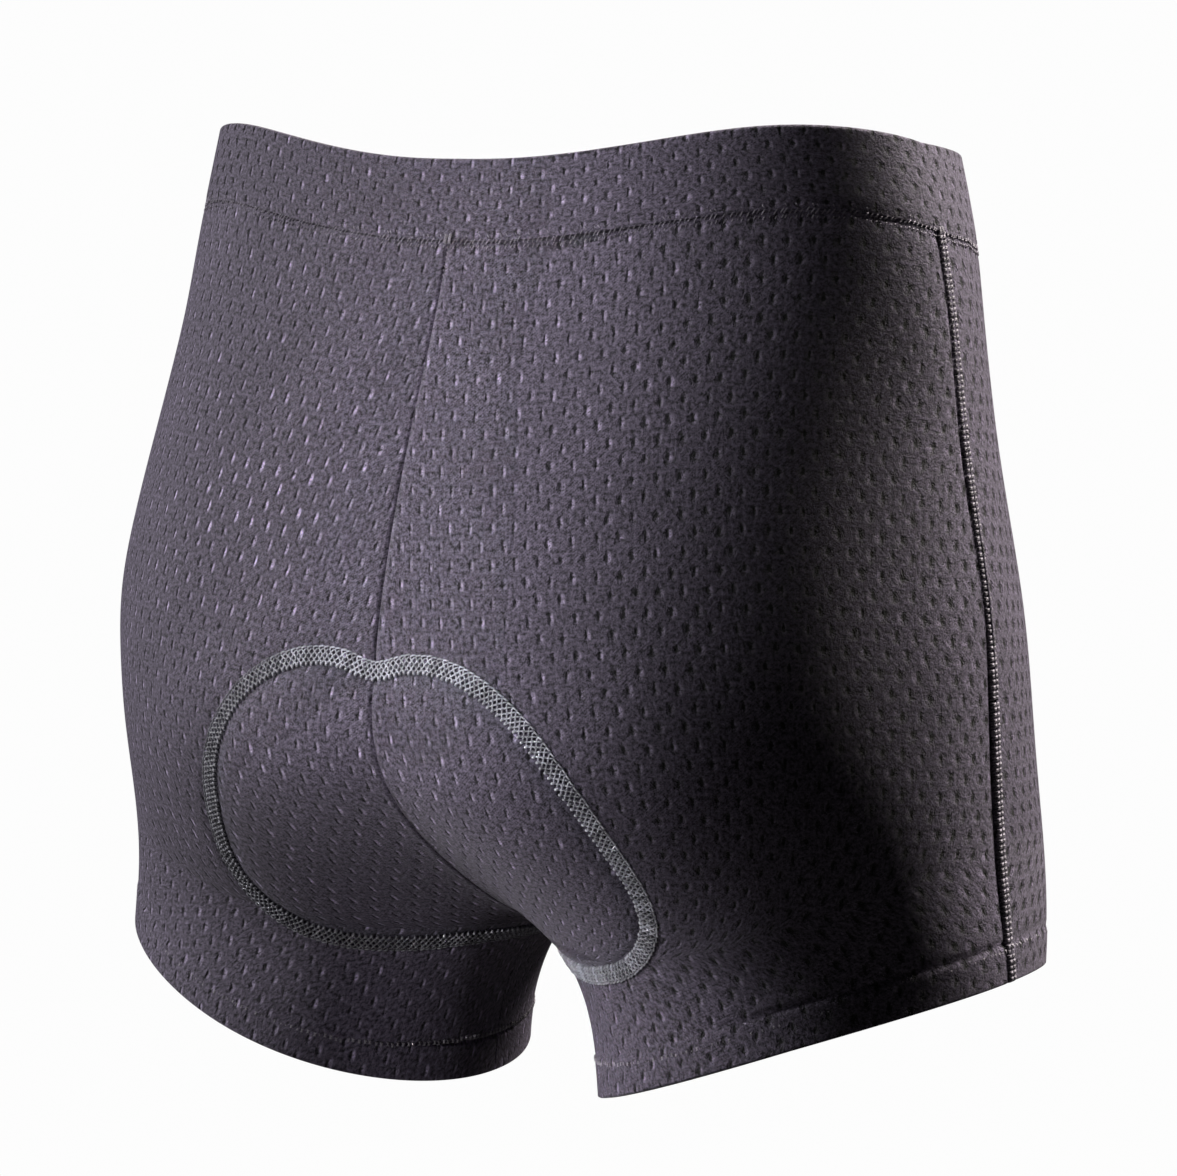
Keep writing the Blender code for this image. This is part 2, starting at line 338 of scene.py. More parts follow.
def roll_in(distance, radius):
    """How far a cloth's edge has rolled in, at this distance from the edge: a quarter circle of this
    radius."""
    short = np.clip(radius - distance, 0, radius)
    return radius - np.sqrt(radius**2 - short**2)


def spaced(length, step, before=(0, 0.3, 0.7, 1.3, 2.2), after=(2.2, 1.3, 0.7, 0.3, 0), close=()):
    """Distances from 0 to length about a step apart, close together at both ends and round each place in
    close."""
    beside = (-2.2, -1.2, -0.6, 0, 0.6, 1.2, 2.2)
    marks = sorted([*before, *(c + d for c in close for d in beside), *(length - a for a in after)])
    places = []
    for a, b in zip(marks[:-1], marks[1:]):
        places.append(np.linspace(a, b, max(round((b - a) / step), 1) + 1)[:-1])
    return np.concatenate([*places, [length]])


def soft_waves(across, down, seed):
    """Long shallow waves in the cloth, a fixed sum of sines."""
    waves = np.zeros_like(across)
    for k, (length, amount) in enumerate(WAVES):
        lean = 0.6 * math.sin(3.1 * k + seed)
        waves += amount * np.sin(2 * math.pi * (across + lean * down) / length + seed + 1.7 * k)
        waves *= 0.75 + 0.25 * np.sin(2 * math.pi * down / (1.9 * length) + 2.3 * seed)
    return waves


def panel_cloth(side_name, half_name, step):
    """A panel's outer and inner net, its cloth coordinates, and its shades: the pad's tint, the pull that
    opens the holes over the hips and sets their painted highlight and shade, and the glint, where the painted
    highlight is strongest on the left seat. Its outer face is the skin moved along the way out: rolled in
    along its seams, swollen over the pad, sunk under the pad's stitching and along the hem's."""
    side, half = SIDES[side_name], HALVES[half_name]
    length = middle_line(side_name, half_name)[0][-1]
    rows = spaced(length, step, close=(length - HEM_FOLD,))[:, None]
    share = (spaced(HIP_QUARTER, step) / HIP_QUARTER)[None]
    turn, z = on_panel(side_name, half_name, rows, share)
    points, out = skin(half, turn, z), way_out(half, turn, z)
    across = along_line(points)
    down = along_line(points.swapaxes(0, 1)).T
    to_side, to_middle = across, across[:, -1:] - across
    to_waist, to_hem = down, down[-1:] - down

    line = skin(half, *pad_line(half_name))
    from_line = nearest(points, line)
    padded = in_pad(half_name, turn, z)
    inside = np.where(padded, from_line, 0)
    swell = PAD_SWELL * (1 - np.exp(-np.maximum(inside - 2.5, 0) / 11)) * np.clip(abs(np.sin(turn)), 0.2, 1)
    trough = bell(np.maximum(from_line - 2.2, 0), 1.6)
    calm = 1 - bell(to_hem, 30)
    relief = swell * (1 - trough) - PAD_TROUGH * trough
    relief += soft_waves(across, down, 1.3 * half + side) * calm * (1 - trough) * np.where(padded, 0.4, 1)
    relief -= SIDE_GROOVE[side_name] * bell(to_side - 2.5, 0.6) - 0.3 * bell(to_side, 1.9)
    relief -= HEM_VALLEY * bell(to_hem - HEM_FOLD + 0.6, 0.6)
    relief += HEM_RISE / (1 + np.exp((to_hem - HEM_FOLD + 1) / 0.5))
    relief -= WAIST_GROOVE[half_name] * bell(to_waist, 2.2)
    low_seat = np.where(padded, bell(to_middle - 15, 13) * bell(z + 232, 22), 0)
    relief += SEAT_RIB * low_seat * np.sin(math.tau * to_middle / SEAT_RIB_PITCH)
    edge = np.minimum(np.minimum(to_middle + 0.2, to_waist + 0.25), to_hem)
    relief -= roll_in(edge, EDGE_ROLL)

    aside = np.array([half, side, 0]) * SEAM_GAP / 2
    wall = (CLOTH + HEM_EXTRA / (1 + np.exp((to_hem - HEM_FOLD) / 0.4)))[..., None]
    outside = points + out * relief[..., None] + aside
    under = np.minimum(relief - roll_in(edge, EDGE_ROLL), 0.4) * 0.6 + roll_in(to_hem, EDGE_ROLL)
    inner = points + out * under[..., None] - out * wall + aside
    cloth = np.stack([half * (across - across[:, -1:] / 2), down], -1)
    tint = np.where(padded, bell(np.maximum(from_line - 3, 0), 5), 0)
    pull = pulled(to_middle) * np.where(padded, 0.3, 1) * (1 if half < 0 else 0.2)
    # Painted highlight: the glint, a soft patch on the left seat where the holes' walls are painted brighter.
    glint = bell(np.linalg.norm(points - GLINT, axis=-1), 30)
    return outside, inner, cloth, {"tint": tint, "pull": pull, "glint": glint}


def shell_faces(rows, columns):
    """Faces of the closed body between two nets of equal size, the outer net's corners first."""
    number = np.arange(2 * rows * columns).reshape(2, rows, columns)
    top, low = number
    outside = np.stack([top[:-1, :-1], top[1:, :-1], top[1:, 1:], top[:-1, 1:]], -1).reshape(-1, 4)
    inside = np.stack([low[:-1, :-1], low[:-1, 1:], low[1:, 1:], low[1:, :-1]], -1).reshape(-1, 4)
    edges = [number[:, 0, :-1], number[:, :-1, -1], number[:, -1, :0:-1], number[:, :0:-1, 0]]
    rim = np.concatenate(edges, axis=1)
    follow = np.roll(rim, -1, axis=1)
    return np.concatenate([outside, inside, np.stack([rim[0], follow[0], follow[1], rim[1]], -1)])


def make(name, corners, faces, material, uv, shades=()):
    """A smooth mesh object from millimetre corners and four-cornered faces, riding on the frame. Its faces
    turn so that the volume inside is positive. The cloth coordinates are one for each corner, or for each
    face's corners, and each shade is a number for each corner."""
    mesh = bpy.data.meshes.new(name)
    corners = np.asarray(corners, float).reshape(-1, 3) / 1000
    faces = np.asarray(faces)
    a, b, c, d = (corners[faces[:, i]] for i in range(4))
    uv = np.asarray(uv) if np.ndim(uv) == 3 else np.asarray(uv)[faces]
    if np.einsum("ij,ij->i", a + c, np.cross(c - a, d - b)).sum() < 0:
        faces, uv = faces[:, ::-1], uv[:, ::-1]
    mesh.from_pydata(corners.tolist(), [], faces.tolist())
    layer = mesh.uv_layers.new(name="cloth")
    layer.data.foreach_set("uv", (uv / 1000).astype(np.float32).ravel())
    for label, values in dict(shades).items():
        shade = mesh.attributes.new(label, "FLOAT", "POINT")
        shade.data.foreach_set("value", np.asarray(values, np.float32).ravel())
    mesh.polygons.foreach_set("use_smooth", np.ones(len(mesh.polygons), bool))
    mesh.materials.append(material)
    mesh.update()
    piece = bpy.data.objects.new(name, mesh)
    bpy.context.scene.collection.objects.link(piece)
    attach(piece, "root")
    return piece


def panel(side_name, half_name, material):
    """One of the four panels, as a closed shell that stands for its node."""
    outside, inner, cloth, shades = panel_cloth(side_name, half_name, STEP[side_name])
    corners = np.concatenate([outside.reshape(-1, 3), inner.reshape(-1, 3)])
    uv = np.concatenate([cloth.reshape(-1, 2)] * 2)
    for label, values in shades.items():
        shades[label] = np.concatenate([values.ravel(), 0 * values.ravel()])
    name = f"{side_name}_{half_name}"
    piece = make(f"{name}_panel", corners, shell_faces(*cloth.shape[:2]), material, uv, shades)
    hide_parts(name)


def waist_loop(count=440):
    """Half, side and share all the way round the waist, from the middle of the front round the wearer's
    left."""
    quarter = np.linspace(0, 1, count // 4 + 1)
    loop = []
    for half, side, way in ((1, -1, -1), (1, 1, 1), (-1, 1, -1), (-1, -1, 1)):
        loop.append(np.stack([np.full(count // 4, half), np.full(count // 4, side), quarter[::way][:-1]]))
    return np.concatenate(loop, axis=1)


def on_band(half, side, share, z, lift):
    """Points of the waistband at height z, lifted off the skin, and the way out there."""
    turn = side * (math.pi * (1 - share) + share * middle_turn(z))
    out = way_out(half, turn, z)
    return skin(half, turn, z) + out * np.asarray(lift)[..., None], out


def hairpin(fold, air):
    """The folded strip's section: up the outer leaf, round the fold's half circle, down the inner leaf, and
    back between the two. Each point is a share of the way up, how far it lies inward, and how far above the
    leaves."""
    deep = 26.0
    leaf = spaced(deep, 1.6, before=(0, 0.25, 0.6, 1.2, 2.0), after=(1.2, 0.5, 0)) / deep
    section = [(up, 0.0, 0.0) for up in leaf]
    for a in np.linspace(0, math.pi, 9)[1:-1]:
        section.append((1.0, fold - fold * math.cos(a), fold * math.sin(a)))
    section += [(up, 2 * fold, 0.0) for up in leaf[::-1]]
    section += [(up, fold + air, 0.0) for up in leaf]
    for a in np.linspace(0, math.pi, 5)[1:-1]:
        section.append((1.0, fold + air * math.cos(a), air * math.sin(a)))
    section += [(up, fold - air, 0.0) for up in leaf[::-1]]
    return np.array(section).T


def waistband(material):
    """The folded strip: its hairpin section, carried round the waist. Each leaf is a wall, and the two are
    joined only at the top fold."""
    half, side, share = waist_loop()
    top = top_edge(side, share)
    low = top - band_depth(side, share) + SEAM_GAP / 2
    fold = BAND_LEAF + BAND_AIR / 2
    up, inward, above = hairpin(fold, BAND_AIR / 2)
    z = low[None] + (top - fold - low)[None] * up[:, None] + above[:, None]
    from_low = np.maximum(z - low[None], 0)
    soft = 0.25 * bell(from_low, 2.2) + roll_in(from_low, 0.25)
    lift = BAND_PROUD - inward[:, None] - np.where(inward[:, None] < fold, soft, 0.0)
    points, _ = on_band(half[None], side[None], share[None], z, lift)
    count, around = points.shape[:2]
    ring = np.arange(count * around).reshape(count, around)
    on = np.roll(ring, -1, axis=1)
    faces = np.stack([ring, on, np.roll(on, -1, axis=0), np.roll(ring, -1, axis=0)], -1).reshape(-1, 4)
    girth = along_line(np.concatenate([points[0], points[0, :1]]))
    depth = along_line(np.concatenate([points[:, 0], points[:1, 0]]))
    place = np.stack(np.broadcast_arrays(girth[None], -depth[:, None]), -1)
    uv = np.stack([place[:-1, :-1], place[:-1, 1:], place[1:, 1:], place[1:, :-1]], -2).reshape(-1, 4, 2)
    pull = np.broadcast_to(pulled(QUARTER_ROUND * (1 - share)), z.shape)
    piece = make("waistband_strip", points, faces, material, uv, {"pull": pull, "tint": 0 * pull})
    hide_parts("waistband")


def pad(material):
    """The seat pad, as two halves that meet on the middle seam. A rib runs from each place on the middle
    seam to its place on the stitch line, and the pad thickens away from that line."""
    across = np.linspace(0, 1, 34) ** 0.85
    rings = []
    for half_name, half in HALVES.items():
        turn, z = pad_line(half_name, 301)
        low = np.argmin(abs(turn))
        seam_z = np.concatenate(
            [
                np.interp(np.linspace(0, 1, low + 1), [0, 1], [z[0], CROTCH]),
                np.interp(np.linspace(0, 1, len(z) - low), [0, 1], [CROTCH, z[-1]])[1:],
            ]
        )
        seam_turn = middle_turn(seam_z) * np.where(np.arange(len(z)) <= low, 1, -1)
        rib_turn = seam_turn[:, None] + (turn - seam_turn)[:, None] * across
        rib_z = seam_z[:, None] + (z - seam_z)[:, None] * across
        points, out = skin(half, rib_turn, rib_z), way_out(half, rib_turn, rib_z)
        from_edge = nearest(points, skin(half, turn, z))
        full = 1 - np.exp(-from_edge / 10)
        thick = PAD_EDGE + (PAD_THICKNESS - PAD_EDGE) * full
        near = points - out * (CLOTH + 0.5)
        far = near - out * thick[..., None]
        rings.append((near, far, np.stack([along_line(points), along_line(points.swapaxes(0, 1)).T], -1)))
    corners, faces, uv = [], [], []
    start = 0
    for near, far, cloth in rings:
        rows, columns = near.shape[:2]
        loops = shell_faces(rows, columns)
        on_seam = (loops % columns == 0).all(axis=1)
        faces.append(loops[~on_seam] + start)
        corners += [near.reshape(-1, 3), far.reshape(-1, 3)]
        uv += [cloth.reshape(-1, 2)] * 2
        start += 2 * rows * columns
    faces[1] = faces[1][:, ::-1]
    piece = make("seat_pad", np.concatenate(corners), np.concatenate(faces), material, np.concatenate(uv))
    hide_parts("pad")


def frame_along(points, ways, at):
    """Place, way along, way out and way across at distances along a line."""
    distance = along_line(points)
    tangents = unit(np.gradient(points, axis=0))

    def there(values):
        return np.stack([np.interp(at, distance, column) for column in values.T], -1)

    place, along, out = there(points), there(tangents), unit(there(ways))
    return place, unit(along), out, unit(np.cross(out, along))


def short_of(points, ways, middle, reach):
    """The short piece of a line that reaches this far to both sides of its point number middle."""
    place, _, out, _ = frame_along(points, ways, along_line(points)[middle] + np.linspace(-reach, reach, 5))
    return place, out


def strokes(points, ways, pitch, reach, slant, aside, thread, high, ragged, shift=0.0):
    """Slanted stitches along a line, each a short closed tube whose ends dive into the cloth: its path goes
    from one side of the line to the other while it leans along it, and arches between. The shift is a share
    of the pitch. Returns corners, faces and uv, which runs along a stitch and round it, with the stitch's
    number added."""
    length = along_line(points)[-1]
    count = int(length / pitch)
    chance = np.random.default_rng(7)
    at = (np.arange(count) + 0.5 + shift) * length / count
    q = np.array([0, 0.18, 0.5, 0.82, 1.0])
    lift = high * np.array([-1.4, 0.55, 1.0, 0.55, -1.4])
    size = thread * np.array([0.7, 0.95, 1.0, 0.95, 0.7])
    shake = chance.normal(0, ragged, (count, 3))
    s = at[:, None] + slant * (q - 0.5) + shake[:, :1]
    closed = np.allclose(points[0], points[-1], atol=0.01)
    s = np.mod(s, length) if closed else np.clip(s, 0, length)
    place, along, out, across = frame_along(points, ways, s.ravel())
    place, along, out, across = (v.reshape(count, 5, 3) for v in (place, along, out, across))
    sideways = aside + (2 * q - 1) * reach + shake[:, 1:2]
    path = place + across * sideways[..., None] + out * (lift + 0.4 * shake[:, 2:])[..., None]
    run = unit(np.gradient(path, axis=1))
    flat = unit(np.cross(run, out))
    up = np.cross(flat, run)
    turn = np.arange(6) * math.pi / 3
    spoke = np.cos(turn)[:, None] * flat[:, :, None] + np.sin(turn)[:, None] * up[:, :, None]
    corners = path[:, :, None] + spoke * size[None, :, None, None]
    number = np.arange(count * 30).reshape(count, 5, 6)
    on = np.roll(number, -1, axis=2)
    walls = np.stack([number[:, :-1], on[:, :-1], on[:, 1:], number[:, 1:]], -1).reshape(-1, 4)
    first, last = number[:, 0], number[:, -1]
    caps = [first[:, [3, 2, 1, 0]], first[:, [5, 4, 3, 0]], last[:, [0, 1, 2, 3]], last[:, [0, 3, 4, 5]]]
    stitch = np.arange(count)[:, None, None] + 0.02
    uv = np.stack(np.broadcast_arrays(q[None, :, None] * 2 * reach, stitch + turn / math.tau), -1)
    return corners.reshape(-1, 3), np.concatenate([walls, *caps]), uv.reshape(-1, 2)


def sew(name, rows, material, sunk_and_painted_shade=None):
    """One piece from several rows of stitches. A function may give each corner a painted shade, a number
    from 0 to 1, and there the thread is painted darker."""
    start, corners, faces, uv = 0, [], [], []
    for points, loops, cloth in rows:
        corners.append(points)
        faces.append(loops + start)
        uv.append(cloth)
        start += len(points)
    corners = np.concatenate(corners)
    shades = {"sunk_and_painted_shade": sunk_and_painted_shade(corners)} if sunk_and_painted_shade else {}
    piece = make(name, corners, np.concatenate(faces), material, np.concatenate(uv), shades)


def painted_shade_under_seat(points):
    """Painted shade on the net round the pad, low under the seat: from 0 at the notch to 1 low on the left
    leg, and part of that at the low end on the right one. Smooth steps of the distance to the left and down
    from the notch."""
    x, _, z = points.T
    left = 1 / (1 + np.exp(-(x + 0.4 * (-175 - z) - 32) / 9))
    right = 0.55 / (1 + np.exp((z + 246) / 5))
    return np.where(x > 0, left, right)


def pad_guide():
    """The pad's stitch line all the way round both halves, with the ways out."""
    lines = []
    for half_name, way in (("left", 1), ("right", -1)):
        turn, z = pad_line(half_name)
        lines.append((skin(HALVES[half_name], turn, z)[::way], way_out(HALVES[half_name], turn, z)[::way]))
    points = np.concatenate([lines[0][0], lines[1][0][1:]])
    ways = np.concatenate([lines[0][1], lines[1][1][1:]])
    return points, ways


def hem_guide(half_name):
    """The hem's stitch line round one leg, from the side seam round the back."""
    half = HALVES[half_name]
    lines = []
    for side_name, way in (("back", 1), ("front", -1)):
        length = middle_line(side_name, half_name)[0][-1]
        turn, z = on_panel(side_name, half_name, np.array(length - HEM_FOLD), np.linspace(0, 1, 160))
        lines.append(np.concatenate([skin(half, turn, z), way_out(half, turn, z)], axis=1)[::way])
    line = np.concatenate([lines[0], lines[1][1:]])
    return line[:, :3], line[:, 3:]


def side_guide(half_name):
    """The side seam from the waist seam to the hem."""
    half = HALVES[half_name]
    length = middle_line("back", half_name)[0][-1]
    rows = np.linspace(0.5, length - 0.5, 260)
    turn, z = on_panel("back", half_name, rows, np.zeros(260))
    out = way_out(half, turn, z)
    return skin(half, turn, z) + 0.4 * out * (rows > length - HEM_FOLD)[:, None], out


def middle_guide(side_name):
    """The centre seam of the back or of the front, from the waist seam to the pad's stitch line."""
    _, turn, z = middle_line(side_name, "left")
    kept = z > PAD_LINE[0 if side_name == "back" else -1][1] + 2
    points, ways = skin(1, turn[kept], z[kept]), way_out(1, turn[kept], z[kept])
    points[:, 0], ways[:, 0] = 0, 0
    return points, unit(ways)


def waist_guide():
    """The waist seam all the way round."""
    half, side, share = waist_loop()
    z = top_edge(side, share) - band_depth(side, share)
    points, ways = on_band(half, side, share, z, 0 * z)
    return np.concatenate([points, points[:1]]), np.concatenate([ways, ways[:1]])


def pad_stitching(material):
    """The net round the pad: four slanting rows that cross, with knots down its middle, beads along its
    outer side and short dashes along its inner one."""
    line, ways = pad_guide()
    rows = []
    for slant, aside in ((PAD_STITCH, -1.3), (PAD_STITCH, 1.3), (-PAD_STITCH, -1.3), (-PAD_STITCH, 1.3)):
        rows.append(strokes(line, ways, PAD_STITCH, 1.3, slant, aside, thread=0.28, high=0.38, ragged=0.12))
    rows += [strokes(line, ways, PAD_STITCH, 0.4, 0.5, 0, thread=0.42, high=0.55, ragged=0.12, shift=0.5)]
    rows += [strokes(line, ways, PAD_STITCH, 0.55, 0.3, 2.6, thread=0.52, high=0.45, ragged=0.12, shift=0.5)]
    rows += [strokes(line, ways, PAD_STITCH, 0.2, 1.9, -2.9, thread=0.3, high=0.3, ragged=0.1)]
    sew("pad_stitching", rows, material, painted_shade_under_seat)


def side_seam_stitching(half_name, material):
    """A side seam's flatlock: two rows side by side, each crossed both ways."""
    line, ways = side_guide(half_name)
    rows = []
    for slant in (1.2, -1.2):
        for aside in (-1.0, 1.0):
            aside *= HALVES[half_name]
            rows.append(strokes(line, ways, 1.8, 1.05, slant, aside, thread=0.4, high=0.5, ragged=0.12))
    sew(f"side_seam_stitching_{half_name}", rows, material)


def hem_stitching(half_name, material):
    """A hem's cover stitch: one row, crossed both ways."""
    line, ways = hem_guide(half_name)
    aside = 1.2 * HALVES[half_name]
    rows = []
    for slant in (0.9, -0.9):
        rows.append(strokes(line, ways, 2.0, 0.8, slant, aside, thread=0.28, high=0.28, ragged=0.2))
    sew(f"hem_stitching_{half_name}", rows, material)


def centre_seam_stitching(side_name, material):
    """The thread that shows in a centre seam."""
    line, ways = middle_guide(side_name)
    rows = [strokes(line, ways, 1.5, 0.3, 0.5, 0, thread=0.17, high=0.0, ragged=0.08)]
    sew(f"centre_seam_stitching_{side_name}", rows, material)


def waist_seam_stitching(material):
    """The waist seam's cover stitch: a row on each side of the seam and one across it."""
    line, ways = waist_guide()
    rows = []
    for reach, slant, aside in ((0.5, 0.6, -2.0), (0.5, -0.6, 1.9), (0.9, 1.3, 0)):
        rows.append(strokes(line, ways, 1.7, reach, slant, aside, thread=0.22, high=0.12, ragged=0.25))
    sew("waist_seam_stitching", rows, material)


def bar_tacks(material):
    """Short dense rows where a side or the back seam meets the waist seam."""
    line, ways = waist_guide()
    quarter = (len(line) - 1) // 4
    rows = []
    for turn in (1, 2, 3):
        short, out = short_of(line, ways, turn * quarter, 1.6)
        rows.append(strokes(short, out, 0.7, 2.0, 0.4, 0.5, thread=0.28, high=0.5, ragged=0.25))
    sew("bar_tacks", rows, material)


def node(tree, kind, inputs=(), **settings):
    """One shader node. inputs gives a socket's name or number a value or another node's socket."""
    made = tree.nodes.new(kind)
    for name, value in settings.items():
        setattr(made, name, value)
    for name, value in dict(inputs).items():
        if isinstance(value, bpy.types.NodeSocket):
            tree.links.new(value, made.inputs[name])
        else:
            made.inputs[name].default_value = value
    return made


def maths(tree, operation, *values):
    """The result of one maths node."""
    return node(tree, "ShaderNodeMath", dict(enumerate(values)), operation=operation).outputs[0]


def between(tree, share, low, high):
    """The value that runs straight from low where the share is 0 to high where it is 1."""
    return maths(tree, "MULTIPLY_ADD", share, high - low, low)


def fade(tree, value, start, end, low, high):
    """A smooth step of value from low at start to high at end."""
    inputs = {"Value": value, "From Min": start, "From Max": end, "To Min": low, "To Max": high}
    return node(tree, "ShaderNodeMapRange", inputs, interpolation_type="SMOOTHSTEP").outputs["Result"]


def group(name, takes, gives):
    """An empty node group with these inputs, (name, kind, value), and outputs, (name, kind)."""
    tree = bpy.data.node_groups.new(name, "ShaderNodeTree")
    for label, kind, value in takes:
        socket = tree.interface.new_socket(label, in_out="INPUT", socket_type=kind)
        if value is not None:
            socket.default_value = value
    for label, kind in gives:
        tree.interface.new_socket(label, in_out="OUTPUT", socket_type=kind)
    return tree, tree.nodes.new("NodeGroupInput").outputs, tree.nodes.new("NodeGroupOutput")


def mesh_holes():
    """Group: staggered oval holes on cloth coordinates in millimetres, their edges broken up by the fuzz and
    opened by the pull. Gives a painted highlight on one wall of a hole, which the pull moves towards its
    other wall, the painted shade in its slot, how deep a point is, and a chance number for each hole."""
    takes = [
        ("Cloth", "NodeSocketVector", None),
        ("Fuzz", "NodeSocketFloat", 0.5),
        ("Pull", "NodeSocketFloat", 0.0),
        ("Across", "NodeSocketFloat", 8.0),
        ("Down", "NodeSocketFloat", 6.2),
        ("Half Width", "NodeSocketFloat", 1.1),
        ("Half Length", "NodeSocketFloat", 2.3),
    ]
    gives = [(label, "NodeSocketFloat") for label in ("Painted Highlight", "Painted Shade", "Depth", "Chance")]
    tree, given, end = group("mesh holes", takes, gives)
    place = node(tree, "ShaderNodeSeparateXYZ", {0: given["Cloth"]}).outputs
    y = maths(tree, "DIVIDE", place["Y"], given["Down"])
    row = maths(tree, "FLOOR", y)
    stagger = maths(tree, "MULTIPLY", maths(tree, "FLOORED_MODULO", row, 2.0), 0.5)
    x = maths(tree, "ADD", maths(tree, "DIVIDE", place["X"], given["Across"]), stagger)
    cell = node(tree, "ShaderNodeCombineXYZ", {"X": maths(tree, "FLOOR", x), "Y": row}).outputs[0]
    chance = node(tree, "ShaderNodeTexWhiteNoise", {"Vector": cell}, noise_dimensions="2D").outputs
    shake = node(tree, "ShaderNodeSeparateColor", {0: chance["Color"]}).outputs
    dx = maths(tree, "MULTIPLY", maths(tree, "SUBTRACT", maths(tree, "FRACT", x), 0.5), given["Across"])
    dy = maths(tree, "MULTIPLY", maths(tree, "SUBTRACT", maths(tree, "FRACT", y), 0.5), given["Down"])
    dx = maths(tree, "ADD", dx, between(tree, shake[0], -0.45, 0.45))
    dy = maths(tree, "ADD", dy, between(tree, shake[1], -0.35, 0.35))
    wide = maths(tree, "MULTIPLY", given["Half Width"], between(tree, shake[2], 0.75, 1.25))
    wide = maths(tree, "MULTIPLY", wide, between(tree, given["Pull"], 1.0, 1.45))
    dx = maths(tree, "DIVIDE", dx, wide)
    dy = maths(tree, "DIVIDE", dy, given["Half Length"])
    fray = between(tree, given["Fuzz"], -0.9, 0.9)

    def far_from(middle, above, narrow, short):
        """How far a point is from an oval's middle, in the oval's own half sizes: the root of the sum of two
        squares, and the fray added."""
        aside = maths(tree, "POWER", maths(tree, "DIVIDE", maths(tree, "SUBTRACT", dx, middle), narrow), 2.0)
        along = maths(tree, "POWER", maths(tree, "DIVIDE", maths(tree, "ADD", dy, above), short), 2.0)
        return maths(tree, "ADD", maths(tree, "SQRT", maths(tree, "ADD", aside, along)), fray)

    # Painted highlight: the wall of a hole that faces the key lamp is painted light; where the pull passes 1
    # it moves towards the other wall, which the rim lamp lights.
    wide_open = maths(tree, "MAXIMUM", maths(tree, "SUBTRACT", given["Pull"], 1.0), 0.0)
    highlight_middle = between(tree, wide_open, 0.35, -0.95)
    wall = fade(tree, far_from(highlight_middle, 0.0, 0.75, 0.95), 0.5, 1.3, 1.0, 0.0)
    tree.links.new(wall, end.inputs["Painted Highlight"])
    # Painted shade: a narrower oval in the hole, a little to one side of its middle, is painted dark; it
    # moves to the middle as the pull grows.
    painted_shade_middle = between(tree, given["Pull"], -0.4, -0.05)
    painted_shade = fade(tree, far_from(painted_shade_middle, 0.1, 0.45, 0.75), 0.5, 1.3, 1.0, 0.0)
    tree.links.new(painted_shade, end.inputs["Painted Shade"])
    far = far_from(0.0, 0.0, 1.0, 1.0)
    tree.links.new(maths(tree, "MAXIMUM", maths(tree, "SUBTRACT", 1.1, far), 0.0), end.inputs["Depth"])
    tree.links.new(chance["Value"], end.inputs["Chance"])
    return tree


def knit_grain():
    """Group: the fine knit on cloth coordinates in millimetres: slanting ribs of loops, broken up by
    noise."""
    takes = [("Cloth", "NodeSocketVector", None), ("Pitch", "NodeSocketFloat", 1.1)]
    gives = [(label, "NodeSocketFloat") for label in ("Grain", "Fuzz", "Cloud")]
    tree, given, end = group("knit grain", takes, gives)
    place = node(tree, "ShaderNodeSeparateXYZ", {0: given["Cloth"]}).outputs
    slant = maths(tree, "MULTIPLY_ADD", place["X"], 0.75, place["Y"])
    slant = maths(tree, "MULTIPLY", slant, math.tau)
    ribs = maths(tree, "SINE", maths(tree, "DIVIDE", slant, given["Pitch"]))
    wales = maths(tree, "DIVIDE", maths(tree, "MULTIPLY", place["X"], math.tau), given["Pitch"])
    loops = maths(tree, "MULTIPLY", ribs, between(tree, maths(tree, "SINE", wales), 0.65, 1.0))
    fine = {"Vector": given["Cloth"], "Scale": 0.7, "Detail": 3.0, "Roughness": 0.8}
    fuzz = node(tree, "ShaderNodeTexNoise", fine)
    cloud = node(tree, "ShaderNodeTexNoise", {"Vector": given["Cloth"], "Scale": 0.035, "Detail": 2.0})
    ribbed = fade(tree, cloud.outputs["Fac"], 0.42, 0.58, 0.0, 0.04)
    grain = maths(tree, "MULTIPLY_ADD", loops, ribbed, fuzz.outputs["Fac"])
    tree.links.new(grain, end.inputs["Grain"])
    tree.links.new(fuzz.outputs["Fac"], end.inputs["Fuzz"])
    tree.links.new(cloud.outputs["Fac"], end.inputs["Cloud"])
    return tree


def blank_material(name):
    """A new material, its node tree and its Principled shader."""
    material = bpy.data.materials.new(name)
    material.use_nodes = True
    tree = material.node_tree
    return material, tree, tree.nodes["Principled BSDF"]


def cloth_place(tree):
    """The piece's own cloth coordinates, in millimetres."""
    uv = node(tree, "ShaderNodeUVMap", uv_map="cloth").outputs[0]
    return node(tree, "ShaderNodeVectorMath", {0: uv, "Scale": 1000.0}, operation="SCALE").outputs[0]


